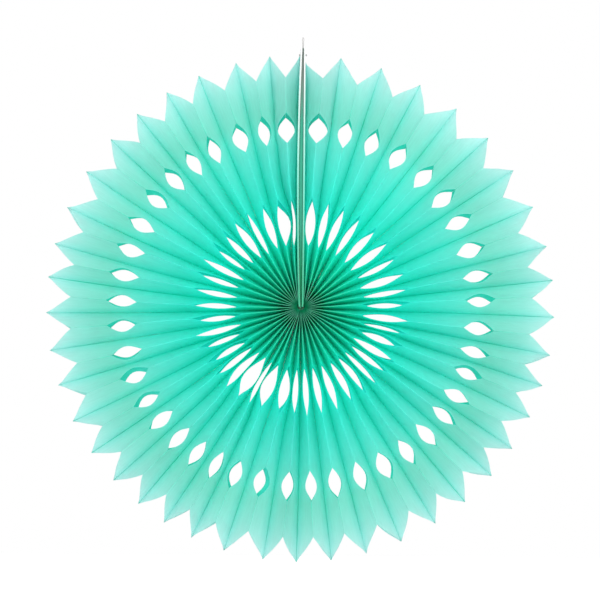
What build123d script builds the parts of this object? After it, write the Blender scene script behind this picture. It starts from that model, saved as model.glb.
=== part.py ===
# Paper fan rosette: a stack of die-cut tissue sheets opened full circle between two end
# cards and hung by a thread. All sizes are in millimetres.
# The sheets are glued to one another down their middle and along both long edges in turn,
# so the open stack is a ring of diamond-section cells. Seen from the front, each cell's
# crest carries the leaf-shaped cuts and the rim's notch, and the glued middles between
# the cells end in the rim's tips.
# The rosette's axis is Y through the origin, its front faces -Y, and its seam stands
# along +Z with the hanging thread on top.
from build123d import *

import os
from math import asin, cos, log, pi, radians, sin, sqrt, tan

# The opened stack
cells = 43
tip_radius = 200.0
notch_radius = 180.0
sheet_half_width = 20.0
paper = 0.3
glue_line = 1.2
trimmed_margin = 1.0

# How far round the circle each share of the stack is opened, in degrees
opened = ((0.0, 0.0), (0.186, 76.5), (0.558, 205.5), (0.674, 243.0), (1.0, 360.0))

# The glued hub, where all the sheets meet, and the radius where the cells begin to open
hub_radius = 3.5
hub_half_depth = 18.5
hollow_radius = 12.0
hollow_bend_radius = 34.0

# Ring of eye-shaped cuts near the rim and of longer slits round the hub
eye_inner = 130.0
eye_outer = 152.0
eye_widest = 140.8
eye_reach = 11.2
slit_inner = 48.5
slit_outer = 81.2
slit_widest = 65.5
slit_reach = 14.0
leaf_steps = 4

# The two end cards, face to face across the seam
card_thickness = 1.2
card_end_radius = 203.5
card_past_axis = 0.5
seam_gap = 1.3
left_card_bow = 2.0
right_card_bow = 0.2
hub_clearance = 0.3
glue_clearance = 0.3

# The thread, its holes through the cards and the knots at its ends
thread_diameter = 0.55
thread_sides = 6
thread_clearance = 0.075
thread_hole_diameter = 1.8
thread_hole_setback = 5.5
thread_front_offset = 12.0
knot_standoff = 0.4
knot_radius = 1.15
knot_height = 0.9
knot_rounding = 0.4

# Places that follow from these sizes
card_face = seam_gap / 2 + card_thickness
seam_side = card_face + glue_clearance
card_start = -card_past_axis
card_length = card_end_radius - card_start
hole_height = card_end_radius - thread_hole_setback
strand_side = seam_gap / 2 - thread_clearance - thread_diameter / 2
knot_face = card_face + knot_standoff


def bowed(bow, radius):
    """How far a card with this bow stands away from the seam's plane at this height."""
    share = (radius - card_start) / card_length
    return max(0.0, 4 * bow * share * (1 - share))


def opened_angle(share):
    """Angle, in radians, to which this share of the stack is opened."""
    for (share_a, angle_a), (share_b, angle_b) in zip(opened, opened[1:]):
        if share <= share_b:
            break
    return radians(angle_a + (angle_b - angle_a) * (share - share_a) / (share_b - share_a))


def glued_middle(number, radius):
    """Point where the glued middle between two cells crosses this radius."""
    right_side = asin((seam_side + bowed(right_card_bow, radius)) / radius)
    left_side = asin((seam_side + bowed(left_card_bow, radius)) / radius)
    room = 2 * pi - right_side - left_side
    turn = right_side + room * opened_angle(number / cells) / (2 * pi)
    return Vector(radius * sin(turn), 0, radius * cos(turn))


def cell_section(number, radius):
    """Middle of a cell at this radius, its half width and the height of its crest."""
    start = glued_middle(number, radius)
    end = glued_middle(number + 1, radius)
    half = (end - start) * 0.5
    crest = Vector(0, -sqrt(sheet_half_width**2 - half.length**2), 0)
    return start + half, half, crest


def walls(low, high):
    """Flat facets between two edges of a cell, each a list of (radius, point)."""
    facets = []
    while len(low) > 1 or len(high) > 1:
        if len(high) == 1 or (len(low) > 1 and low[1][0] < high[1][0]):
            facets.append([low[0][1], low[1][1], high[0][1]])
            low = low[1:]
        else:
            facets.append([low[0][1], high[1][1], high[0][1]])
            high = high[1:]
    return facets


def closed_tube(edges):
    """Solid tube with these long edges, in order round it, each a list of (radius, point)."""
    facets = [[edge[0][1] for edge in edges], [edge[-1][1] for edge in edges]]
    for edge, next_edge in zip(edges, edges[1:] + edges[:1]):
        facets += walls(edge, next_edge)
    return Solid(Shell([Face(Wire.make_polygon(facet)) for facet in facets]))


def cell_outside(number):
    """A whole cell without its hollow, flat where it is glued to its neighbours."""
    glue = Vector(0, -glue_line / 2, 0)
    bends = (hub_radius, hollow_radius, *middle_bends)
    starts = [(radius, glued_middle(number, radius)) for radius in bends]
    ends = [(radius, glued_middle(number + 1, radius)) for radius in bends]
    front = []
    back = []
    for radius in (hub_radius, hollow_radius, *crest_bends):
        middle, _, crest = cell_section(number, radius)
        front.append((radius, middle + crest))
        back.append((radius, middle - crest))
    return closed_tube([
        [(radius, point - glue) for radius, point in starts],
        [(radius, point + glue) for radius, point in starts],
        front,
        [(radius, point + glue) for radius, point in ends],
        [(radius, point - glue) for radius, point in ends],
        back,
    ])


def shrink(half, crest):
    """Share of a cell's section that is left inside its paper walls."""
    return 1 - paper * sheet_half_width / (half.length * crest.length)


def cell_hollow(number):
    """The hollow of a cell, one paper thickness inside its walls."""
    starts = []
    ends = []
    for radius in (hollow_radius, *middle_bends):
        middle, half, crest = cell_section(number, radius)
        starts.append((radius, middle - half * shrink(half, crest)))
        ends.append((radius, middle + half * shrink(half, crest)))
    front = []
    back = []
    for radius in (hollow_radius, hollow_bend_radius, *crest_bends):
        middle, half, crest = cell_section(number, radius)
        front.append((radius, middle + crest * shrink(half, crest)))
        back.append((radius, middle - crest * shrink(half, crest)))
    return closed_tube([starts, front, ends, back])


def leaf(number, inner, outer, widest, reach):
    """Front view of a leaf-shaped cut through both sheets of a cell along its crests."""
    power = log(0.5) / log((widest - inner) / (outer - inner))
    rising = []
    falling = []
    for step in range(1, leaf_steps):
        share = step / leaf_steps
        middle, half, _ = cell_section(number, inner + share * (outer - inner))
        half = half * (reach / sheet_half_width * sin(pi * share**power))
        rising.append(middle + half)
        falling.insert(0, middle - half)
    ends = [cell_section(number, radius)[0] for radius in (inner, outer)]
    return [(point.X, point.Z) for point in [ends[0], *rising, ends[1], *falling]]


def rim():
    """Front view of the pointed rim, from the right end card round to the left one."""
    points = []
    for number in range(cells):
        points.append(glued_middle(number, tip_radius))
        points.append(cell_section(number, notch_radius)[0])
    points.append(glued_middle(cells, tip_radius))
    return [(point.X, point.Z) for point in points]


def end_card(side, bow):
    """An end card on this side of the seam, bowed away from it by this much."""
    inner = side * seam_gap / 2
    outer = side * card_face
    middle = card_start + card_length / 2
    top = card_end_radius
    with BuildPart() as card:
        with BuildSketch(Plane.XZ):
            with BuildLine():
                Line((inner, card_start), (outer, card_start))
                ThreePointArc((outer, card_start), (outer + side * bow, middle), (outer, top))
                Line((outer, top), (inner, top))
                ThreePointArc((inner, top), (inner + side * bow, middle), (inner, card_start))
            make_face()
        extrude(amount=sheet_half_width, both=True)
        with BuildSketch(Plane.YZ):
            with Locations((-thread_front_offset, hole_height)):
                Circle(thread_hole_diameter / 2)
        extrude(amount=2 * (card_face + bow), both=True, mode=Mode.SUBTRACT)
    return card.part


# Radii at which the cells' crests and glued middles bend from one flat facet to the next:
# each leaf-shaped cut lies within one facet on either side of its crest
beyond_rim = tip_radius + trimmed_margin
crest_bends = ((slit_outer + eye_inner) / 2, notch_radius, beyond_rim)
middle_bends = ((slit_widest + slit_outer) / 2, eye_widest, beyond_rim)

# The tissue is one piece: sheets glued into a ring of cells round a solid hub, which is
# open to the axis where the end cards reach into it
with BuildPart() as tissue_fan:
    with BuildSketch(Plane.XZ):
        with BuildLine():
            hub_corners = [glued_middle(number, hub_radius) for number in range(cells + 1)]
            Polyline(*[(point.X, point.Z) for point in hub_corners], close=True)
        make_face()
        slot_depth = hub_radius - card_start + hub_clearance
        with Locations((0, hub_radius)):
            Rectangle(
                2 * seam_side, slot_depth, align=(Align.CENTER, Align.MAX), mode=Mode.SUBTRACT
            )
    extrude(amount=hub_half_depth, both=True)
    add([cell_outside(number) for number in range(cells)])
    add([cell_hollow(number) for number in range(cells)], mode=Mode.SUBTRACT)
    with BuildSketch(Plane.XZ):
        with BuildLine():
            Polyline(*rim(), close=True)
        make_face()
    extrude(amount=sheet_half_width, both=True, mode=Mode.INTERSECT)
    with BuildSketch(Plane.XZ):
        for number in range(cells):
            with BuildLine():
                Polyline(*leaf(number, eye_inner, eye_outer, eye_widest, eye_reach), close=True)
            make_face()
            with BuildLine():
                Polyline(*leaf(number, slit_inner, slit_outer, slit_widest, slit_reach), close=True)
            make_face()
    extrude(amount=sheet_half_width, both=True, mode=Mode.SUBTRACT)
tissue_fan.part.label = "tissue_fan"

# The end cards
with BuildPart() as right_end_card:
    add(end_card(1, right_card_bow))
right_end_card.part.label = "right_end_card"

with BuildPart() as left_end_card:
    add(end_card(-1, left_card_bow))
left_end_card.part.label = "left_end_card"

# The hanging thread is knotted outside each card, passes through the card's hole, rises
# between the cards and closes above them in a narrow loop
thread_plane = Plane.XZ.offset(thread_front_offset)
half_route = [
    (knot_face, hole_height),
    (0.8, hole_height),
    (strand_side, hole_height + 0.55),
    (strand_side, hole_height + 9.4),
    (0.68, hole_height + 11.3),
    (0.8, hole_height + 12.6),
    (0.6, hole_height + 13.8),
]
route = half_route + [(-x, z) for x, z in reversed(half_route)]
corners = [Vector(*point) for point in route]
radii = []
for before, corner, after in zip(corners, corners[1:], corners[2:]):
    arriving = corner - before
    leaving = after - corner
    half_turn = radians(arriving.get_angle(leaving)) / 2
    radii.append(0.45 * min(arriving.length, leaving.length) / tan(half_turn))

with BuildPart() as hanging_thread:
    with BuildLine(thread_plane) as thread_path:
        FilletPolyline(*route, radius=radii)
    with BuildSketch(Plane(origin=thread_path.line @ 0, z_dir=thread_path.line % 0)):
        RegularPolygon(thread_diameter / 2, thread_sides)
    sweep(path=thread_path.line)
    strand_volume = hanging_thread.part.volume
    with BuildSketch(thread_plane):
        with BuildLine():
            Polyline(
                (knot_face, hole_height),
                (knot_face, hole_height + knot_radius),
                (knot_face + knot_rounding, hole_height + knot_radius),
                (knot_face + knot_height, hole_height + knot_radius - knot_rounding),
                (knot_face + knot_height, hole_height),
                close=True,
            )
        make_face()
    revolve(axis=Axis((0, -thread_front_offset, hole_height), (1, 0, 0)))
    mirror(about=Plane.YZ)
hanging_thread.part.label = "hanging_thread"

os.makedirs("parts", exist_ok=True)
for piece in (tissue_fan, right_end_card, left_end_card, hanging_thread):
    export_step(piece.part, f"parts/{piece.part.label}.step")
length = thread_path.wire().length
print("thread length", round(length, 2), "volume", round(strand_volume, 3))
section = thread_sides * thread_diameter**2 / 8 * sin(2 * pi / thread_sides)
print("section times length", round(section * length, 3))
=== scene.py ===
"""Paper fan rosette: a stack of die-cut tissue sheets opened full circle between two end
cards and hung by a thread. Lengths are in metres, and the fan's front faces -Y."""

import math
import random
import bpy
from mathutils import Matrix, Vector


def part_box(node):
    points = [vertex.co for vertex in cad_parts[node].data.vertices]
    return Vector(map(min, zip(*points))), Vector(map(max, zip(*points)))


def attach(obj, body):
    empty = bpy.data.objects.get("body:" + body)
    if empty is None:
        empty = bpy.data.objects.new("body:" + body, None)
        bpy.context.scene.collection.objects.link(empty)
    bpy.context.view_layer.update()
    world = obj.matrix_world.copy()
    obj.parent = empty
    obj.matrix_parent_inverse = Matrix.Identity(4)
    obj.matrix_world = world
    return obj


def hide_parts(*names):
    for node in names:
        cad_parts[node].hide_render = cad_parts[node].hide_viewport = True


bl_info = {
    "name": "Paper Fan Rosette",
    "version": (1, 0, 0),
    "blender": (4, 5, 0),
    "location": "3D View > Sidebar > Rosette",
    "description": "Opens a die-cut tissue stack into a round fan with end cards and a hanging thread",
    "category": "Object",
}

import bmesh
import bpy
from bpy.props import FloatProperty, FloatVectorProperty, IntProperty, PointerProperty
from mathutils import Matrix, Vector, noise

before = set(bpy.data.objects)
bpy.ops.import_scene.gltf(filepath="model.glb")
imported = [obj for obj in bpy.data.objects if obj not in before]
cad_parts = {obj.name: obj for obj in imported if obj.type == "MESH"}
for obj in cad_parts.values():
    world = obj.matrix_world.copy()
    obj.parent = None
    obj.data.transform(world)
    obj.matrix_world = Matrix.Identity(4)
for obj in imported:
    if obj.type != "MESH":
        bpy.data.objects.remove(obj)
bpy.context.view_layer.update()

# Where each glued middle stands once the fan is opened by hand, in degrees from the seam
OPENED = (
    0.0, 8.1, 17.6, 27.2, 37.1, 46.9, 56.3, 65.7, 75.2, 83.0, 91.4,
    100.1, 107.2, 114.9, 123.1, 130.8, 139.2, 147.5, 156.2, 164.5, 172.6, 180.5,
    188.1, 197.1, 205.0, 212.0, 219.2, 226.9, 234.8, 243.1, 251.9, 260.0, 268.6,
    276.7, 284.4, 293.1, 302.3, 311.5, 319.8, 328.1, 336.3, 345.3, 353.1, 360.0,
)

# Glued middles that stand loose between the long cuts, and how far each leans, in cells
LOOSE_RIBS = {22: -0.2, 24: 0.42, 25: -0.12, 26: 0.34, 42: 0.62}

# Ribs whose two sheets lie folded together between the long cuts: how far, by the rib's number
FOLDED_RIBS = {22: 0.6, 23: 0.5, 24: 0.85, 25: 0.85, 26: 0.8, 27: 0.5, 41: 0.4, 42: 0.7}

# How unevenly hands open the paper: glued middles between the long cuts and at the hub, in cells
RIB_SPREAD = 0.11
HUB_SPREAD = 0.2
HUB_LIMIT = 0.3

# The same for a crest, in half cells: all along it, and more towards the hub
CREST_SPREAD = 0.055
SLACK_SPREAD = 0.13

# How far any other rib may be folded together
FOLD_LIMIT = 0.25

# How far a sheet's wall bulges, in half cells, and how often along the radius, in 1/m
BULGE = 0.16
BULGE_RATE = 18

# The pale crest lines: how far from a sheet's long edge they begin, and where they are full
CREST_BAND = 0.0032
CREST_LINE = 0.0006

# Share of the light that passes through
TISSUE_TRANSLUCENCY = 0.66
CARD_TRANSLUCENCY = 0.12

# Half of the thread's route in the plane of the loop, as (x, z), from outside a card
THREAD_HALF_ROUTE = (
    (0.00225, 0.1980),
    (0.00080, 0.1980),
    (0.00030, 0.19855),
    (0.00030, 0.2045),
    (0.00036, 0.2074),
    (0.00050, 0.2093),
    (0.00058, 0.2106),
    (0.00042, 0.2118),
)
THREAD_DIAMETER = 0.00055

# Each knot's wraps: their number, how much smaller each next one is, and their lean in degrees
WRAPS = 3
WRAP_SHRINK = 0.18
WRAP_LEAN = 14
WRAP_LEAN_STEP = 12

# The soft lights: name, place and width
LIGHTS = (
    ("key", (-0.15, -2.4, 0.4), 1.0),
    ("fill", (1.6, -1.4, 0.3), 1.4),
)


def length(name, description, default):
    """A size in metres that a user can change."""
    return FloatProperty(
        name=name, description=description, default=default, min=0.0, unit="LENGTH", precision=4
    )


def share(name, description, default):
    """A plain share or amount that a user can change."""
    return FloatProperty(name=name, description=description, default=default, precision=3)


def angle(name, description, degrees):
    """An angle that a user can change."""
    return FloatProperty(
        name=name, description=description, default=math.radians(degrees), subtype="ANGLE"
    )


def colour(name, description, default):
    """A colour, in linear light, that a user can change."""
    return FloatVectorProperty(
        name=name, description=description, default=default, size=3, min=0.0, max=1.0, subtype="COLOR"
    )


class RosetteSheets(bpy.types.PropertyGroup):
    """The die-cut tissue sheets and how they are opened"""

    cells: IntProperty(name="Cells", description="Diamond-section cells round the fan", default=43, min=8)
    tip_radius: length("Tip radius", "From the axis to the rim's tips", 0.200)
    notch_radius: length("Notch radius", "From the axis to the rim's notches", 0.1805)
    half_width: length("Half width", "From a sheet's middle to either long edge", 0.020)
    thickness: length("Thickness", "Thickness of one sheet", 0.00012)
    hub_radius: length("Hub radius", "Where the sheets' inner ends meet", 0.0028)
    hub_dip: length("Hub dip", "How far the sheets' edges sink at the hub", 0.0032)
    dip_radius: length("Dip radius", "Where the edges begin to sink towards the hub", 0.0070)
    slit_inner: length("Slit start", "Inner end of the long cuts", 0.0478)
    slit_outer: length("Slit end", "Outer end of the long cuts", 0.0860)
    slit_widest: length("Slit widest", "Radius where the long cuts are widest", 0.0635)
    slit_reach: length("Slit reach", "How far the long cuts reach into a sheet", 0.0092)
    eye_inner: length("Eye start", "Inner end of the eye-shaped cuts", 0.1287)
    eye_outer: length("Eye end", "Outer end of the eye-shaped cuts", 0.1527)
    eye_widest: length("Eye widest", "Radius where the eye-shaped cuts are widest", 0.1406)
    eye_reach: length("Eye reach", "How far the eye-shaped cuts reach into a sheet", 0.0094)
    glue_share: share("Glue line", "Share of the half width that is glued at a sheet's middle", 0.035)
    bend_share: share("Bend", "Share of the half width that bends out of the glue line", 0.16)
    edge_share: share("Edge bend", "Share of the half width that bends into the glued edge", 0.03)
    rim_shoulder: share("Rim shoulder", "Below 1 makes the rim's points rounder", 0.90)
    tip_blunt: length("Blunt tip", "Half width that is left at a tip's very end", 0.0006)
    core_radius: length("Core radius", "Radius of the glue that joins the sheets at the hub", 0.0048)
    core_depth: length("Core depth", "How far behind the front edges the glued core ends", 0.0090)
    unevenness: share("Unevenness", "How unevenly the stack was opened by hand", 1.0)
    seed: IntProperty(name="Seed", description="Start of the random draws", default=7)


class RosetteSeam(bpy.types.PropertyGroup):
    """The two end cards and the room that they take at the seam"""

    gap: length("Gap", "Between the two cards", 0.0013)
    card_thickness: length("Card thickness", "Thickness of an end card", 0.0012)
    clearance: length("Clearance", "Between a card and the tissue glued to it", 0.0003)
    left_bow: length("Left bow", "How far the left card bows out", 0.0020)
    right_bow: length("Right bow", "How far the right card bows out", 0.0002)
    strip_depth: length("Strip depth", "From the cards' front edges back to the joining strip", 0.0045)
    strip_foot: length("Strip foot", "How far below the cards the joining strip reaches", 0.0014)
    strip_inset: length("Strip inset", "How far below the cards' tops the joining strip ends", 0.0006)
    fold_depth: length("Fold depth", "How far the joining strip's sides are folded back", 0.0004)
    right_tip_drop: length("Right tip drop", "How much lower the tissue ends at the right card", 0.0058)
    end_cell_hold: share("End cell hold", "Share of the half width that hugs an end card", 0.32)


class RosetteFinish(bpy.types.PropertyGroup):
    """Colours of the tissue, cards and thread"""

    # Painted light and shade: hub end to rim are stops of one radial ramp, paler at the rim for light
    # through single sheets, and darker at the hub end for the shade deep at the hub
    hub_end_shade: colour("Hub end", "Tissue soaked with glue at the sheets' inner ends", (0.015, 0.64, 0.34))
    hub: colour("Hub", "Tissue round the hub", (0.030, 0.985, 0.86))
    slits: colour("Slits", "Tissue between the long cuts", (0.060, 0.990, 0.92))
    body: colour("Body", "Tissue between the two rings of cuts", (0.35, 0.968, 0.918))
    eyes: colour("Eyes", "Tissue at the eye-shaped cuts", (0.58, 0.980, 0.956))
    rim: colour("Rim", "Tissue at the rim's points", (0.735, 0.956, 0.938))
    # Painted shade: the cells' inside faces take this darker colour at the eye-shaped cuts, a shaded copy
    # of the outer tissue
    inside: colour("Inside", "Tissue inside the cells, at the eye-shaped cuts", (0.10, 0.84, 0.70))
    # Painted shade: the strip's colours stand for the shade deep in the gap between the cards
    strip: colour("Strip", "Paper strip between the cards", (0.06, 0.43, 0.30))
    strip_hub_shade: colour("Strip hub", "The strip's end at the hub", (0.008, 0.34, 0.15))
    strip_top_shade: colour("Strip top", "The strip's end at the rim, in the thread's shadow", (0.25, 0.32, 0.28))
    # Painted shade: multiplied into the tissue down in the valleys
    valley: colour("Valley", "What two sheets close together take from the colour", (0.50, 1.0, 0.985))
    # A glue line at the middles, darkened also as painted shade of the crease
    crease: colour("Crease", "Tissue at the glued middles, between the cells", (0.030, 0.88, 0.72))
    # Partly painted shade: the glued core's deep colour also stands for the shade deep at the hub
    core: colour("Core", "Glue-soaked tissue at the hub", (0.020, 0.30, 0.15))
    # Painted highlight on the lit crest edges round the hub
    crest: colour("Crest", "Glued edges round the hub", (0.32, 0.93, 0.74))
    card: colour("Card", "End cards at the rim", (0.88, 0.91, 0.90))
    card_middle: colour("Card middle", "End cards half way, tinted by the tissue", (0.24, 0.80, 0.64))
    card_hub: colour("Card hub", "End cards at the hub, stained by the tissue", (0.06, 0.50, 0.28))
    # Partly painted shade: greyer than the white thread, for the shade between its two touching strands
    thread: colour("Thread", "Hanging thread and its knots", (0.62, 0.61, 0.60))


class RosetteStage(bpy.types.PropertyGroup):
    """Camera, floor and light"""

    distance: length("Distance", "From the fan's axis to the camera", 2.1)
    camera_left: angle("Camera left", "Angle to the left of the axis", 0.8)
    camera_below: angle("Camera below", "Angle below the axis", 2.8)
    camera_roll: angle("Camera roll", "Turn about the line of sight", 0.5)
    aim_left: length("Aim left", "How far left of the axis the middle of the view is", 0.00055)
    aim_height: length("Aim height", "Height of the point in the middle of the view", 0.00575)
    scale: share("Picture scale", "Pixels to the millimetre in the plane of the rim's tips", 1.27)
    picture_width: IntProperty(name="Picture width", description="Width of the view in pixels", default=600)
    floor_drop: length("Floor drop", "From the fan's axis down to the floor", 0.55)
    floor_size: length("Floor size", "Width of the floor", 16.0)
    ambient: share("Ambient", "Light from all round", 0.62)
    key: share("Key", "Power of the soft light in front, a little above the camera, in watts", 31.0)
    fill: share("Fill", "Power of the soft light at the right, in watts", 6.0)
    floor_glow: share("Floor glow", "Light that only the camera sees on the floor", 0.55)


def set_group_sockets(tree, in_out, names):
    """Adds float or colour sockets to a node group's outside."""
    for name, kind, default in names:
        socket = tree.interface.new_socket(name=name, in_out=in_out, socket_type=kind)
        if in_out == "INPUT" and default is not None:
            socket.default_value = default


def paper_fibre_group():
    """Node group: cloudy formation and fine drawn-out fibres of a sheet of paper."""
    name = "Paper fibres"
    if name in bpy.data.node_groups:
        return bpy.data.node_groups[name]
    tree = bpy.data.node_groups.new(name, "ShaderNodeTree")
    set_group_sockets(
        tree,
        "INPUT",
        (
            ("Vector", "NodeSocketVector", None),
            ("Cloud Scale", "NodeSocketFloat", 20.0),
            ("Fibre Scale", "NodeSocketFloat", 300.0),
            ("Cloud Amount", "NodeSocketFloat", 0.1),
            ("Fibre Amount", "NodeSocketFloat", 0.1),
        ),
    )
    results = (("Shade", "NodeSocketFloat", None), ("Height", "NodeSocketFloat", None))
    set_group_sockets(tree, "OUTPUT", results)
    nodes, links = tree.nodes, tree.links
    inside = nodes.new("NodeGroupInput")
    outside = nodes.new("NodeGroupOutput")
    cloud = nodes.new("ShaderNodeTexNoise")
    cloud.inputs["Detail"].default_value = 3.0
    fibre = nodes.new("ShaderNodeTexNoise")
    fibre.inputs["Detail"].default_value = 5.0
    fibre.inputs["Roughness"].default_value = 0.65
    for texture, scale in ((cloud, "Cloud Scale"), (fibre, "Fibre Scale")):
        links.new(inside.outputs["Vector"], texture.inputs["Vector"])
        links.new(inside.outputs[scale], texture.inputs["Scale"])
    total = None
    for texture, amount in ((cloud, "Cloud Amount"), (fibre, "Fibre Amount")):
        centred = nodes.new("ShaderNodeMath")
        centred.operation = "SUBTRACT"
        centred.inputs[1].default_value = 0.5
        links.new(texture.outputs["Fac"], centred.inputs[0])
        scaled = nodes.new("ShaderNodeMath")
        scaled.operation = "MULTIPLY_ADD"
        links.new(centred.outputs[0], scaled.inputs[0])
        links.new(inside.outputs[amount], scaled.inputs[1])
        if total is None:
            scaled.inputs[2].default_value = 1.0
        else:
            links.new(total, scaled.inputs[2])
        total = scaled.outputs[0]
    links.new(total, outside.inputs["Shade"])
    links.new(fibre.outputs["Fac"], outside.inputs["Height"])
    return tree


def new_material(name):
    """A material with an empty node tree and its output node."""
    material = bpy.data.materials.new(name)
    material.use_nodes = True
    tree = material.node_tree
    tree.nodes.clear()
    output = tree.nodes.new("ShaderNodeOutputMaterial")
    return material, tree.nodes, tree.links, output


def math_node(nodes, links, operation, *values):
    """A Math node whose inputs are sockets or plain numbers."""
    node = nodes.new("ShaderNodeMath")
    node.operation = operation
    for socket, value in zip(node.inputs, values):
        if isinstance(value, bpy.types.NodeSocket):
            links.new(value, socket)
        else:
            socket.default_value = value
    return node.outputs[0]


def scaled_colour(nodes, links, colour_socket, shade_socket):
    """A colour made lighter or darker by a shade of about 1."""
    node = nodes.new("ShaderNodeVectorMath")
    node.operation = "SCALE"
    links.new(colour_socket, node.inputs[0])
    links.new(shade_socket, node.inputs["Scale"])
    return node.outputs[0]


def fibres(nodes, links, vector, cloud_scale, fibre_scale, cloud_amount, fibre_amount):
    """Places the paper fibre group with these values."""
    node = nodes.new("ShaderNodeGroup")
    node.node_tree = paper_fibre_group()
    links.new(vector, node.inputs["Vector"])
    node.inputs["Cloud Scale"].default_value = cloud_scale
    node.inputs["Fibre Scale"].default_value = fibre_scale
    node.inputs["Cloud Amount"].default_value = cloud_amount
    node.inputs["Fibre Amount"].default_value = fibre_amount
    return node


def plain_colour(nodes, tint):
    """One colour as a socket."""
    node = nodes.new("ShaderNodeRGB")
    node.outputs[0].default_value = (*tint, 1.0)
    return node.outputs[0]


def colour_ramp(nodes, links, value, stops):
    """The colour at this value between stops of (position, colour)."""
    node = nodes.new("ShaderNodeValToRGB")
    elements = node.color_ramp.elements
    while len(elements) < len(stops):
        elements.new(0.5)
    for element, (position, tint) in zip(elements, stops):
        element.position = position
        element.color = (*tint, 1.0)
    links.new(value, node.inputs["Fac"])
    return node.outputs["Color"]


def remapped(nodes, links, value, start, end, low=0.0, high=1.0, smooth=False):
    """A value that goes from low to high while its source goes from start to end."""
    node = nodes.new("ShaderNodeMapRange")
    if smooth:
        node.interpolation_type = "SMOOTHSTEP"
    node.inputs["From Min"].default_value = start
    node.inputs["From Max"].default_value = end
    node.inputs["To Min"].default_value = low
    node.inputs["To Max"].default_value = high
    links.new(value, node.inputs["Value"])
    return node.outputs[0]


def tinted(nodes, links, factor, base, tint, blend_type="MIX"):
    """The base colour changed by this tint, as far as the factor says."""
    node = nodes.new("ShaderNodeMix")
    node.data_type = "RGBA"
    node.blend_type = blend_type
    links.new(factor, node.inputs["Factor"])
    links.new(base, node.inputs["A"])
    node.inputs["B"].default_value = (*tint, 1.0)
    return node.outputs["Result"]


def bumped(nodes, links, height, strength, distance):
    """The normal of a surface made uneven by this height."""
    node = nodes.new("ShaderNodeBump")
    node.inputs["Strength"].default_value = strength
    node.inputs["Distance"].default_value = distance
    links.new(height, node.inputs["Height"])
    return node.outputs["Normal"]


def surface_shader(nodes, links, tint, normal, roughness, specular=0.5, sheen=0.0):
    """An opaque surface, plain where no normal is given."""
    node = nodes.new("ShaderNodeBsdfPrincipled")
    node.inputs["Roughness"].default_value = roughness
    node.inputs["Specular IOR Level"].default_value = specular
    node.inputs["Sheen Weight"].default_value = sheen
    links.new(tint, node.inputs["Base Color"])
    if normal is not None:
        links.new(normal, node.inputs["Normal"])
    return node.outputs[0]


def translucent(nodes, links, surface, tint, normal, amount):
    """A surface that also lets this share of the light through."""
    through = nodes.new("ShaderNodeBsdfTranslucent")
    links.new(tint, through.inputs["Color"])
    if normal is not None:
        links.new(normal, through.inputs["Normal"])
    mixed = nodes.new("ShaderNodeMixShader")
    mixed.inputs["Fac"].default_value = amount
    links.new(surface, mixed.inputs[1])
    links.new(through.outputs[0], mixed.inputs[2])
    return mixed.outputs[0]


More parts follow.
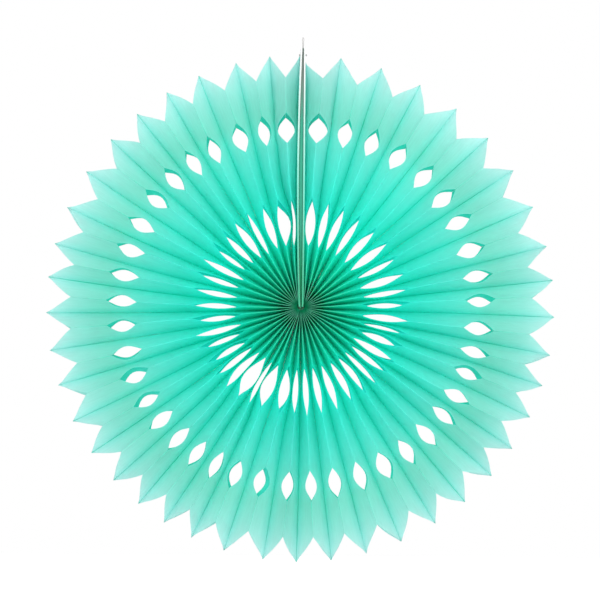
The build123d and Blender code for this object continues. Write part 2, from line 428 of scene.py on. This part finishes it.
def tissue_material(name, sheets, finish, eye_ring_lit_or_shaded):
    """Dyed tissue, translucent, with light painted into its colour: paler where single sheets spread out at
    the rim, and deeper and darker towards the hub as painted shade.
    """
    material, nodes, links, output = new_material(name)
    place = nodes.new("ShaderNodeTexCoord")
    flat = nodes.new("ShaderNodeVectorMath")
    flat.operation = "MULTIPLY"
    flat.inputs[1].default_value = (1.0, 0.0, 1.0)
    links.new(place.outputs["Object"], flat.inputs[0])
    away = nodes.new("ShaderNodeVectorMath")
    away.operation = "LENGTH"
    links.new(flat.outputs[0], away.inputs[0])
    radius = away.outputs["Value"]
    along = math_node(nodes, links, "DIVIDE", radius, sheets.tip_radius)
    # This ramp paints light and shade: paler towards the rim, deeper and darker towards the hub
    stops = (
        (0.025, finish.hub_end_shade),
        (0.10, finish.hub),
        (0.36, finish.slits),
        (0.60, finish.body),
        (0.76, eye_ring_lit_or_shaded),
        (0.96, finish.rim),
    )
    dye_and_painted_light = colour_ramp(nodes, links, along, stops)

    sheet_place = nodes.new("ShaderNodeUVMap")
    sheet_place.uv_map = "sheet"
    stretch = nodes.new("ShaderNodeVectorMath")
    stretch.operation = "MULTIPLY"
    stretch.inputs[1].default_value = (0.12, 1.0, 1.0)
    links.new(sheet_place.outputs["UV"], stretch.inputs[0])
    grain = fibres(nodes, links, stretch.outputs[0], 30.0, 700.0, 0.10, 0.16)

    split = nodes.new("ShaderNodeSeparateXYZ")
    links.new(sheet_place.outputs["UV"], split.inputs[0])
    half = sheets.half_width
    across = math_node(nodes, links, "PINGPONG", split.outputs["Y"], half)

    # Painted shade: deeper colour down in the valleys, which fades towards the rim
    depth = remapped(nodes, links, across, 0.0, half * 0.6, 1.0, 0.0, smooth=True)
    inner = remapped(nodes, links, radius, sheets.tip_radius, sheets.slit_outer, low=0.15)
    valley_shade = math_node(nodes, links, "MULTIPLY", depth, inner)
    dye_and_painted_light = tinted(nodes, links, valley_shade, dye_and_painted_light, finish.valley, "MULTIPLY")

    # A darker line where the glue joins two sheets at their middles, deepened also as painted shade of the
    # crease there
    glued = half * sheets.glue_share
    glue = remapped(nodes, links, across, glued * 0.6, glued * 1.8, 0.75, 0.0, smooth=True)
    dye_and_painted_light = tinted(nodes, links, glue, dye_and_painted_light, finish.crease)

    # Painted highlight: pale crest lines, the lit front edges, between the glued core and the long cuts
    core = sheets.core_radius
    edge = remapped(nodes, links, across, half - CREST_BAND, half - CREST_LINE, smooth=True)
    near_hub = remapped(nodes, links, radius, sheets.slit_inner, core * 2, high=0.9)
    past_core = remapped(nodes, links, radius, core, core * 1.8)
    pale = math_node(nodes, links, "MULTIPLY", edge, near_hub)
    pale = math_node(nodes, links, "MULTIPLY", pale, past_core)
    dye_and_painted_light = tinted(nodes, links, pale, dye_and_painted_light, finish.crest)

    tint = scaled_colour(nodes, links, dye_and_painted_light, grain.outputs["Shade"])
    normal = bumped(nodes, links, grain.outputs["Height"], 0.15, 0.0002)
    surface = surface_shader(nodes, links, tint, normal, roughness=0.85, specular=0.15)
    paper = translucent(nodes, links, surface, tint, normal, TISSUE_TRANSLUCENCY)
    links.new(paper, output.inputs["Surface"])
    return material


def card_material(finish):
    """White board with a faint grain, tinted by the tissue towards the hub."""
    material, nodes, links, output = new_material("White board")
    place = nodes.new("ShaderNodeTexCoord").outputs["Object"]
    grain = fibres(nodes, links, place, 60.0, 2500.0, 0.05, 0.08)
    split = nodes.new("ShaderNodeSeparateXYZ")
    links.new(place, split.inputs[0])
    heights = ((0.015, finish.card_hub), (0.10, finish.card_middle), (0.19, finish.card))
    stain = colour_ramp(nodes, links, split.outputs["Z"], heights)
    tint = scaled_colour(nodes, links, stain, grain.outputs["Shade"])
    normal = bumped(nodes, links, grain.outputs["Height"], 0.3, 0.0001)
    surface = surface_shader(nodes, links, tint, normal, roughness=0.7, specular=0.3)
    board = translucent(nodes, links, surface, tint, None, CARD_TRANSLUCENCY)
    links.new(board, output.inputs["Surface"])
    return material


def thread_material(finish):
    """Twisted cotton thread: slanting plies with fine fibres."""
    material, nodes, links, output = new_material("Twisted thread")
    place = nodes.new("ShaderNodeTexCoord").outputs["Object"]
    plies = nodes.new("ShaderNodeTexWave")
    plies.wave_type = "BANDS"
    plies.bands_direction = "DIAGONAL"
    plies.inputs["Scale"].default_value = 520.0
    plies.inputs["Distortion"].default_value = 0.6
    links.new(place, plies.inputs["Vector"])
    grain = fibres(nodes, links, place, 400.0, 6000.0, 0.10, 0.25)
    # Painted shade in the grooves between the slanting plies
    ply_groove_shade = remapped(nodes, links, plies.outputs["Fac"], 0.0, 1.0, 0.72, 1.05)
    shade = math_node(nodes, links, "MULTIPLY", ply_groove_shade, grain.outputs["Shade"])
    tint = scaled_colour(nodes, links, plain_colour(nodes, finish.thread), shade)
    normal = bumped(nodes, links, plies.outputs["Fac"], 0.8, 0.00012)
    surface = surface_shader(nodes, links, tint, normal, roughness=0.8, sheen=0.2)
    links.new(surface, output.inputs["Surface"])
    return material


def spaced(start, end, steps):
    """Evenly spaced values from start up to, and without, end."""
    return [start + (end - start) * step / steps for step in range(steps)]


def leaf_depth(radius, inner, outer, widest, reach):
    """How far a leaf-shaped cut with pointed ends reaches into the sheet at this radius."""
    if not inner < radius < outer:
        return 0.0
    power = math.log(0.5) / math.log((widest - inner) / (outer - inner))
    along = (radius - inner) / (outer - inner)
    return reach * math.sin(math.pi * along**power)


def half_width_left(sheets, radius):
    """Half width of the die-cut sheet at this radius, from its middle to its cut edge."""
    if radius >= sheets.notch_radius:
        along = max(0.0, (sheets.tip_radius - radius) / (sheets.tip_radius - sheets.notch_radius))
        return sheets.tip_blunt + (sheets.half_width - sheets.tip_blunt) * along**sheets.rim_shoulder
    slit = leaf_depth(radius, sheets.slit_inner, sheets.slit_outer, sheets.slit_widest, sheets.slit_reach)
    eye = leaf_depth(radius, sheets.eye_inner, sheets.eye_outer, sheets.eye_widest, sheets.eye_reach)
    return sheets.half_width - slit - eye


def sheet_rows(sheets):
    """Radii of the rows of points along a sheet, closer together along its cuts."""
    return (
        spaced(sheets.hub_radius, sheets.dip_radius, 3)
        + spaced(sheets.dip_radius, sheets.slit_inner, 5)
        + spaced(sheets.slit_inner, sheets.slit_outer, 9)
        + spaced(sheets.slit_outer, sheets.eye_inner, 4)
        + spaced(sheets.eye_inner, sheets.eye_outer, 9)
        + spaced(sheets.eye_outer, sheets.notch_radius, 2)
        + spaced(sheets.notch_radius, sheets.tip_radius, 5)
        + [sheets.tip_radius]
    )


def sheet_columns(sheets):
    """Shares of the half width at the columns of points, from the back edge to the front."""
    glued, bend = sheets.glue_share, sheets.bend_share
    half = [glued, glued + bend / 2, glued + bend, 0.55, 1 - sheets.edge_share, 1.0]
    return [-value for value in reversed(half)] + [0.0] + half


def die_cut_sheet(shape, sheets):
    """One flat sheet in a bmesh: x is the radius, and y runs across it from its middle."""
    rows = sheet_rows(sheets)
    columns = sheet_columns(sheets)
    bmesh.ops.create_grid(shape, x_segments=len(rows) - 1, y_segments=len(columns) - 1, size=0.5)
    place = shape.loops.layers.uv.new("sheet")
    for vert in shape.verts:
        radius = rows[round((vert.co.x + 0.5) * (len(rows) - 1))]
        across = columns[round((vert.co.y + 0.5) * (len(columns) - 1))]
        vert.co = Vector((radius, across * half_width_left(sheets, radius), 0.0))
    bmesh.ops.remove_doubles(shape, verts=shape.verts[:], dist=sheets.thickness / 10)
    for face in shape.faces:
        for loop in face.loops:
            loop[place].uv = (loop.vert.co.x, loop.vert.co.y)


def opened_turn(along):
    """Angle, in radians, to which this share of the stack is opened."""
    place = min(1.0, max(0.0, along)) * (len(OPENED) - 1)
    before = min(int(place), len(OPENED) - 2)
    return math.radians(OPENED[before] + (OPENED[before + 1] - OPENED[before]) * (place - before))


class OpenedStack:
    """Where each point of each sheet lies once the stack is opened by hand."""

    def __init__(self, sheets, seam):
        self.sheets = sheets
        self.seam = seam
        self.card_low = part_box("right_end_card")[0].z
        self.card_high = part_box("right_end_card")[1].z
        self.slit_middle = (sheets.slit_inner + sheets.slit_outer) / 2
        self.slit_half = (sheets.slit_outer - sheets.slit_inner) / 2
        draw = random.Random(sheets.seed)
        ribs, cells = range(sheets.cells + 1), range(sheets.cells)
        amount = sheets.unevenness
        self.rib_drift = [draw.gauss(0, RIB_SPREAD) * amount for _ in ribs]
        self.rib_drift[0] = self.rib_drift[-1] = 0.0
        for number, lean in LOOSE_RIBS.items():
            self.rib_drift[number] = lean * amount
        self.crest_drift = {
            side: [draw.gauss(0, CREST_SPREAD) * amount for _ in cells] for side in (-1, 1)
        }
        self.slack_drift = {
            side: [draw.gauss(0, SLACK_SPREAD) * amount for _ in cells] for side in (-1, 1)
        }
        self.hub_drift = [
            max(-HUB_LIMIT, min(HUB_LIMIT, draw.gauss(0, HUB_SPREAD))) * amount for _ in ribs
        ]
        self.hub_drift[0] = self.hub_drift[-1] = 0.0
        self.folded = [draw.uniform(0, FOLD_LIMIT) * amount for _ in ribs]
        for number, fold in FOLDED_RIBS.items():
            self.folded[number] = fold * amount

    def seam_side(self, bow, radius):
        """Angle taken up at the seam by one card with this bow."""
        along = (radius - self.card_low) / (self.card_high - self.card_low)
        bowed = max(0.0, 4 * bow * along * (1 - along))
        face = self.seam.gap / 2 + self.seam.card_thickness + self.seam.clearance
        return math.asin(min(1.0, (face + bowed) / radius))

    def middle(self, number, radius):
        """Point where the glued middle with this number crosses this radius."""
        sheets = self.sheets
        right = self.seam_side(self.seam.right_bow, radius)
        left = self.seam_side(self.seam.left_bow, radius)
        loose = math.exp(-(((radius - self.slit_middle) / self.slit_half) ** 2))
        bunched = math.exp(-((radius / (0.6 * sheets.slit_inner)) ** 2))
        drift = self.rib_drift[number] * loose + self.hub_drift[number] * bunched
        along = (number + drift) / sheets.cells
        room = math.tau - right - left
        turn = right + room * opened_turn(along) / math.tau
        return Vector((radius * math.sin(turn), 0.0, radius * math.cos(turn)))

    def place(self, number, side, radius, across):
        """Point of the sheet glued at this middle on this side, from its flat place."""
        sheets = self.sheets
        # The tissue's first tip, at the right card, ends lower than the others
        if number == 0 and radius > sheets.notch_radius:
            beyond = (radius - sheets.notch_radius) / (sheets.tip_radius - sheets.notch_radius)
            radius -= self.seam.right_tip_drop * beyond
        own = self.middle(number, radius)
        if not 0 <= number + side <= sheets.cells:
            return self.end_sheet(own, side, across)
        half = (self.middle(number + side, radius) - own) / 2
        step = half.length
        front = 1 if across >= 0 else -1
        cell = number if side == 1 else number - 1
        along = abs(across) / sheets.half_width
        # A crest strays from the middle of its cell, and strays more towards the hub
        slack = 1 - min(1.0, radius / sheets.notch_radius) ** 3
        drift = self.crest_drift[front][cell] + self.slack_drift[front][cell] * slack
        crest = step * (1 + side * drift)
        room = sheets.thickness * 0.6
        # Each wall takes its own part of the noise
        bulge_at = Vector((radius * BULGE_RATE, number * 5.3 + side * 1.7, front * 3.1))
        bulge = BULGE * sheets.unevenness * noise.noise(bulge_at) * math.sin(math.pi * along)
        # The sheets beside the cards hug them, and let go past the eye-shaped cuts
        hold = self.seam.end_cell_hold if cell in (0, sheets.cells - 1) else 0.0
        inside = (sheets.tip_radius - radius) / (sheets.tip_radius - sheets.eye_outer)
        hold *= min(1.0, max(0.0, inside))
        # Between the long cuts a rib's two sheets lie folded together, some more than others
        loose = max(0.0, 1 - ((radius - self.slit_middle) / self.slit_half) ** 2)
        spread = 1 - self.folded[number] * loose**2
        out = room + ((crest - 2 * room) * wall_share(along, sheets, hold) + bulge * step) * spread
        high = math.sqrt(max(0.0, sheets.half_width**2 - step**2))
        # The glued edges sink towards their inner ends
        sunk = max(0.0, 1 - (radius - sheets.hub_radius) / (sheets.dip_radius - sheets.hub_radius))
        high -= sheets.hub_dip * sunk**2
        return own + half.normalized() * out - Vector((0.0, front * high * along, 0.0))

    def end_sheet(self, own, side, across):
        """Point of an outermost sheet, which is glued flat to the outside of its card."""
        inwards = self.seam.clearance / 2
        return own + Vector((inwards * side, -across, 0.0))


def wall_share(along, sheets, hold):
    """Share of the way to the next crest: level at the glued middle and straight beyond."""
    bend, edge = sheets.bend_share, sheets.edge_share
    glued = sheets.glue_share + hold
    free = min(1.0, max(0.0, (along - glued) / (1 - glued)))
    slope = 1 / (1 - bend / 2 - edge / 2)
    if free < bend:
        return slope * free * free / (2 * bend)
    if free > 1 - edge:
        return 1 - slope * (1 - free) ** 2 / (2 * edge)
    return slope * (free - bend / 2)


def put_in_order(shape):
    """Sorts points, edges and faces by place, since some operators leave them in any order."""
    for parts in (shape.verts, shape.edges, shape.faces):
        places = {}
        for part in parts:
            points = getattr(part, "verts", [part])
            places[part] = sorted(tuple(point.co) for point in points)
        ranks = {part: rank for rank, part in enumerate(sorted(places, key=places.get))}
        parts.sort(key=ranks.get)


def finished_mesh(shape, name):
    """A new mesh made of this bmesh, which is freed."""
    mesh = bpy.data.meshes.new(name)
    shape.to_mesh(mesh)
    shape.free()
    return mesh


def opened_tissue(sheets, seam):
    """All the sheets, opened round the hub, as one mesh."""
    stack = OpenedStack(sheets, seam)
    flat = bmesh.new()
    die_cut_sheet(flat, sheets)
    flat_mesh = finished_mesh(flat, "flat_sheet")
    shape = bmesh.new()
    for number in range(sheets.cells + 1):
        for side in (-1, 1):
            before = len(shape.verts)
            before_faces = len(shape.faces)
            shape.from_mesh(flat_mesh)
            shape.verts.ensure_lookup_table()
            shape.faces.ensure_lookup_table()
            place = shape.loops.layers.uv["sheet"]
            for face in shape.faces[before_faces:]:
                face.smooth = True
                for loop in face.loops:
                    loop[place].uv.y += sheets.half_width * 4 * (2 * number + side)
            if side == 1:
                bmesh.ops.reverse_faces(shape, faces=shape.faces[before_faces:])
            for vert in shape.verts[before:]:
                vert.co = stack.place(number, side, vert.co.x, vert.co.y)
    bpy.data.meshes.remove(flat_mesh)
    return finished_mesh(shape, "tissue_sheets")


def glued_core(sheets, seam):
    """The stiff glue that joins the sheets' inner ends, notched for the two end cards."""
    slot_side = seam.gap / 2 + seam.card_thickness + seam.clearance
    slot_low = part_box("right_end_card")[0].z - seam.clearance
    core = bmesh.new()
    sides = 2 * sheets.cells
    bmesh.ops.create_circle(core, cap_ends=True, segments=sides, radius=sheets.core_radius)
    # Three cuts bound the slot in which the cards stand
    for place, normal in (
        ((slot_side, 0, 0), (1, 0, 0)),
        ((-slot_side, 0, 0), (1, 0, 0)),
        ((0, slot_low, 0), (0, 1, 0)),
    ):
        everything = core.verts[:] + core.edges[:] + core.faces[:]
        bmesh.ops.bisect_plane(core, geom=everything, plane_co=place, plane_no=normal)
    slot = []
    for face in core.faces:
        middle = face.calc_center_median()
        if abs(middle.x) < slot_side and middle.y > slot_low:
            slot.append(face)
    bmesh.ops.delete(core, geom=slot, context="FACES")
    depth = sheets.half_width - sheets.core_depth
    bmesh.ops.translate(core, verts=core.verts[:], vec=(0.0, 0.0, depth))
    back = bmesh.ops.extrude_face_region(core, geom=core.faces[:])
    moved = [part for part in back["geom"] if isinstance(part, bmesh.types.BMVert)]
    bmesh.ops.translate(core, verts=moved, vec=(0.0, 0.0, -2 * depth))
    bmesh.ops.rotate(core, verts=core.verts[:], matrix=Matrix.Rotation(math.pi / 2, 3, "X"))
    bmesh.ops.recalc_face_normals(core, faces=core.faces[:])
    put_in_order(core)
    return finished_mesh(core, "glued_core")


def core_material(finish):
    """Tissue soaked with dried glue: cloudy, and deep green also as painted shade of the hub's recess."""
    material, nodes, links, output = new_material("Glued tissue")
    place = nodes.new("ShaderNodeTexCoord").outputs["Object"]
    grain = fibres(nodes, links, place, 260.0, 2200.0, 0.5, 0.3)
    tint = scaled_colour(nodes, links, plain_colour(nodes, finish.core), grain.outputs["Shade"])
    normal = bumped(nodes, links, grain.outputs["Height"], 0.4, 0.0003)
    surface = surface_shader(nodes, links, tint, normal, roughness=0.45, specular=0.4)
    links.new(surface, output.inputs["Surface"])
    return material


def add_piece(name, mesh, material):
    """An object for a finished piece, linked to the scene."""
    piece = bpy.data.objects.new(name, mesh)
    bpy.context.scene.collection.objects.link(piece)
    mesh.materials.append(material)
    return piece


def give_thickness(piece, sheets):
    """Thickens a piece of paper alike to both sides."""
    paper = piece.modifiers.new("paper", "SOLIDIFY")
    paper.thickness = sheets.thickness
    paper.offset = 0.0
    return paper


class ROSETTE_OT_tissue(bpy.types.Operator):
    """Open the stack of die-cut tissue sheets round its hub"""

    bl_idname = "rosette.tissue"
    bl_label = "Open Tissue"

    def execute(self, context):
        scene = context.scene
        sheets = scene.rosette_sheets
        seam = scene.rosette_seam
        finish = scene.rosette_finish
        mesh = opened_tissue(sheets, seam)
        outer = tissue_material("Dyed tissue", sheets, finish, finish.eyes)
        # A shaded copy of the tissue for the cells' inside faces, with painted shade at the eye-shaped cuts
        inner = tissue_material("Dyed tissue inside", sheets, finish, finish.inside)
        piece = add_piece("tissue_sheets", mesh, outer)
        mesh.materials.append(inner)
        paper = give_thickness(piece, sheets)
        paper.material_offset = 1
        paper.material_offset_rim = 1
        core = add_piece("glued_core", glued_core(sheets, seam), core_material(finish))
        for part in (piece, core):
            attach(part, "root")
            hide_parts("tissue_fan")
        return {"FINISHED"}


def joining_strip(sheets, seam):
    """A paper strip glued between the two cards, which holds the circle shut."""
    low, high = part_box("right_end_card")
    bottom, top = low.z - seam.strip_foot, high.z - seam.strip_inset
    strip = bmesh.new()
    bmesh.ops.create_grid(strip, x_segments=4, y_segments=48, size=0.5)
    for vert in strip.verts:
        height = bottom + (top - bottom) * (vert.co.y + 0.5)
        along = (height - low.z) / (high.z - low.z)
        bow = 4 * along * (1 - along)
        right = seam.gap / 2 + seam.right_bow * bow - seam.clearance / 2
        left = -seam.gap / 2 - seam.left_bow * bow + seam.clearance / 2
        across = vert.co.x + 0.5
        fold = (2 * across - 1) ** 2 * seam.fold_depth
        depth = -sheets.half_width + seam.strip_depth + fold
        vert.co = Vector((left + (right - left) * across, depth, height))
    for face in strip.faces:
        face.smooth = True
    bmesh.ops.reverse_faces(strip, faces=strip.faces)
    return finished_mesh(strip, "joining_strip")


def strip_material(sheets, finish):
    """Thin green-tinted paper in painted shade of the gap between the cards: deep green at the hub and grey
    at the rim.
    """
    material, nodes, links, output = new_material("Strip paper")
    place = nodes.new("ShaderNodeTexCoord").outputs["Object"]
    parts = nodes.new("ShaderNodeSeparateXYZ")
    links.new(place, parts.inputs[0])
    height = math_node(nodes, links, "DIVIDE", parts.outputs["Z"], sheets.tip_radius)
    # Painted shade of the narrow gap: darkest at the hub, grey at the rim
    stops = (
        (0.14, finish.strip_hub_shade),
        (0.32, finish.strip),
        (0.72, finish.strip),
        (0.90, finish.strip_top_shade),
    )
    dye_and_painted_light = colour_ramp(nodes, links, height, stops)
    grain = fibres(nodes, links, place, 90.0, 1800.0, 0.12, 0.16)
    tint = scaled_colour(nodes, links, dye_and_painted_light, grain.outputs["Shade"])
    surface = surface_shader(nodes, links, tint, None, roughness=0.85)
    links.new(surface, output.inputs["Surface"])
    return material


class ROSETTE_OT_cards(bpy.types.Operator):
    """Finish the two end cards and join them with a strip"""

    bl_idname = "rosette.cards"
    bl_label = "Finish End Cards"

    def execute(self, context):
        scene = context.scene
        sheets = scene.rosette_sheets
        finish = scene.rosette_finish
        board = card_material(finish)
        for node in ("right_end_card", "left_end_card"):
            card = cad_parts[node]
            card.data.materials.clear()
            card.data.materials.append(board)
        shape = joining_strip(sheets, scene.rosette_seam)
        strip = add_piece("joining_strip", shape, strip_material(sheets, finish))
        give_thickness(strip, sheets)
        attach(strip, "root")
        return {"FINISHED"}


def thread_level():
    """Where the thread loop stands along the fan's axis, which is its y."""
    low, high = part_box("hanging_thread")
    return (low.y + high.y) / 2


def thread_curve():
    """The thread's centreline as a smooth open curve with a round section."""
    front = thread_level()
    route = THREAD_HALF_ROUTE + tuple((-x, z) for x, z in reversed(THREAD_HALF_ROUTE))
    curve = bpy.data.curves.new("hanging_thread", "CURVE")
    curve.dimensions = "3D"
    spline = curve.splines.new("NURBS")
    spline.points.add(len(route) - 1)
    for point, (x, z) in zip(spline.points, route):
        point.co = (x, front, z, 1.0)
    spline.order_u = 3
    spline.use_endpoint_u = True
    spline.resolution_u = 12
    curve.bevel_depth = THREAD_DIAMETER / 2
    curve.bevel_resolution = 4
    curve.use_fill_caps = True
    return curve


def thread_ring(radius):
    """One closed wrap of thread round the x axis, in a bmesh of its own."""
    ring = bmesh.new()
    bmesh.ops.create_circle(ring, segments=8, radius=THREAD_DIAMETER / 2)
    bmesh.ops.translate(ring, verts=ring.verts[:], vec=(0.0, radius, 0.0))
    bmesh.ops.spin(
        ring,
        geom=ring.verts[:] + ring.edges[:],
        cent=(0, 0, 0),
        axis=(1, 0, 0),
        angle=math.tau,
        steps=18,
        use_merge=True,
    )
    bmesh.ops.remove_doubles(ring, verts=ring.verts[:], dist=THREAD_DIAMETER / 100)
    bmesh.ops.recalc_face_normals(ring, faces=ring.faces[:])
    return ring


def thread_knots():
    """The knots at the thread's ends: three lumpy wraps outside each card."""
    low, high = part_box("hanging_thread")
    card_face, height = THREAD_HALF_ROUTE[0]
    deep = high.x - card_face
    wide = 0.75 * ((high.y - low.y) / 2 - THREAD_DIAMETER / 2)
    knots = bmesh.new()
    for side in (-1, 1):
        for wrap in range(WRAPS):
            ring = thread_ring(wide * (1 - WRAP_SHRINK * wrap))
            lean = side * math.radians(WRAP_LEAN - WRAP_LEAN_STEP * wrap)
            step = (deep - THREAD_DIAMETER) * wrap / (WRAPS - 1)
            out = card_face + THREAD_DIAMETER / 2 + step
            place = Matrix.Translation((side * out, thread_level(), height))
            turn = place @ Matrix.Rotation(lean, 4, "Z")
            bmesh.ops.transform(ring, matrix=turn, verts=ring.verts[:])
            part = finished_mesh(ring, "wrap")
            knots.from_mesh(part)
            bpy.data.meshes.remove(part)
    for face in knots.faces:
        face.smooth = True
    put_in_order(knots)
    return finished_mesh(knots, "thread_knots")


class ROSETTE_OT_thread(bpy.types.Operator):
    """Hang the thread loop and knot its ends outside the cards"""

    bl_idname = "rosette.thread"
    bl_label = "Hang Thread"

    def execute(self, context):
        twisted = thread_material(context.scene.rosette_finish)
        knots = add_piece("thread_knots", thread_knots(), twisted)
        thread = add_piece("thread_loop", thread_curve(), twisted)
        for piece in (thread, knots):
            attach(piece, "root")
            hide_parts("hanging_thread")
        return {"FINISHED"}


def pale_floor_material(brightness):
    """Pale matt floor that the camera sees as white where nothing shades it."""
    material, nodes, links, output = new_material("Pale floor")
    surface = nodes.new("ShaderNodeBsdfPrincipled")
    surface.inputs["Base Color"].default_value = (0.86, 0.86, 0.86, 1.0)
    surface.inputs["Roughness"].default_value = 0.9
    glow = nodes.new("ShaderNodeEmission")
    rays = nodes.new("ShaderNodeLightPath")
    strength = math_node(nodes, links, "MULTIPLY", rays.outputs["Is Camera Ray"], brightness)
    links.new(strength, glow.inputs["Strength"])
    both = nodes.new("ShaderNodeAddShader")
    links.new(surface.outputs[0], both.inputs[0])
    links.new(glow.outputs[0], both.inputs[1])
    links.new(both.outputs[0], output.inputs["Surface"])
    return material


def studio_world(ambient):
    """Even white light from all round, on a white background."""
    world = bpy.data.worlds.new("Studio")
    world.use_nodes = True
    nodes, links = world.node_tree.nodes, world.node_tree.links
    nodes.clear()
    output = nodes.new("ShaderNodeOutputWorld")
    light = nodes.new("ShaderNodeBackground")
    light.inputs["Color"].default_value = (1, 1, 1, 1)
    light.inputs["Strength"].default_value = ambient
    seen = nodes.new("ShaderNodeBackground")
    seen.inputs["Color"].default_value = (1, 1, 1, 1)
    rays = nodes.new("ShaderNodeLightPath")
    direct = rays.outputs["Is Camera Ray"]
    for kind in ("Is Glossy Ray", "Is Transmission Ray"):
        direct = math_node(nodes, links, "MAXIMUM", direct, rays.outputs[kind])
    mixed = nodes.new("ShaderNodeMixShader")
    links.new(direct, mixed.inputs["Fac"])
    links.new(light.outputs[0], mixed.inputs[1])
    links.new(seen.outputs[0], mixed.inputs[2])
    links.new(mixed.outputs[0], output.inputs["Surface"])
    bpy.context.scene.world = world


def soft_light(name, place, width, watts):
    """A large square lamp at this place, turned to the fan's middle."""
    lamp = bpy.data.lights.new(name, "AREA")
    lamp.size = width
    lamp.energy = watts
    holder = bpy.data.objects.new(name, lamp)
    holder.location = place
    holder.rotation_euler = (-Vector(place)).to_track_quat("-Z", "Y").to_euler()
    bpy.context.scene.collection.objects.link(holder)


class ROSETTE_OT_stage(bpy.types.Operator):
    """Set the camera, floor and light"""

    bl_idname = "rosette.stage"
    bl_label = "Set Stage"

    def execute(self, context):
        scene = context.scene
        stage = scene.rosette_stage
        camera = bpy.data.cameras.new("camera")
        camera.sensor_width = 36.0
        distance_in_pixels = stage.scale * stage.distance * 1000
        camera.lens = distance_in_pixels / stage.picture_width * camera.sensor_width
        camera.clip_end = 100.0
        level = stage.distance * math.cos(stage.camera_below)
        place = Vector((
            -level * math.sin(stage.camera_left),
            -level * math.cos(stage.camera_left),
            -stage.distance * math.sin(stage.camera_below),
        ))
        aim = Vector((-stage.aim_left, 0.0, stage.aim_height)) - place
        level_view = aim.to_track_quat("-Z", "Y").to_matrix().to_4x4()
        turn = level_view @ Matrix.Rotation(stage.camera_roll, 4, "Z")
        holder = bpy.data.objects.new("camera", camera)
        holder.matrix_world = Matrix.Translation(place) @ turn
        scene.collection.objects.link(holder)
        scene.camera = holder

        shape = bmesh.new()
        bmesh.ops.create_grid(shape, x_segments=2, y_segments=2, size=stage.floor_size / 2)
        bmesh.ops.translate(shape, verts=shape.verts[:], vec=(0.0, 0.0, -stage.floor_drop))
        pale = pale_floor_material(stage.floor_glow)
        floor = add_piece("floor", finished_mesh(shape, "floor"), pale)

        studio_world(stage.ambient)
        for name, stand, width in LIGHTS:
            soft_light(name, stand, width, getattr(stage, name))
        scene.view_settings.view_transform = "Standard"
        return {"FINISHED"}


class ROSETTE_PT_sidebar(bpy.types.Panel):
    """Lists the rosette's pieces and their sizes and colours"""

    bl_idname = "ROSETTE_PT_sidebar"
    bl_label = "Paper Fan Rosette"
    bl_space_type = "VIEW_3D"
    bl_region_type = "UI"
    bl_category = "Rosette"

    def draw(self, context):
        for operator in OPERATORS:
            self.layout.operator(operator.bl_idname)
        for group_name in GROUPS:
            box = self.layout.box()
            group = getattr(context.scene, group_name)
            for name in group.__annotations__:
                box.prop(group, name)


GROUPS = {
    "rosette_sheets": RosetteSheets,
    "rosette_seam": RosetteSeam,
    "rosette_finish": RosetteFinish,
    "rosette_stage": RosetteStage,
}
OPERATORS = (ROSETTE_OT_tissue, ROSETTE_OT_cards, ROSETTE_OT_thread, ROSETTE_OT_stage)


def register():
    for name, group in GROUPS.items():
        bpy.utils.register_class(group)
        setattr(bpy.types.Scene, name, PointerProperty(type=group))
    for operator in OPERATORS:
        bpy.utils.register_class(operator)
    bpy.utils.register_class(ROSETTE_PT_sidebar)


def unregister():
    bpy.utils.unregister_class(ROSETTE_PT_sidebar)
    for operator in reversed(OPERATORS):
        bpy.utils.unregister_class(operator)
    for name, group in GROUPS.items():
        delattr(bpy.types.Scene, name)
        bpy.utils.unregister_class(group)


def main():
    register()
    bpy.ops.rosette.stage()
    bpy.ops.rosette.tissue()
    bpy.ops.rosette.cards()
    bpy.ops.rosette.thread()


if __name__ == "__main__":
    main()
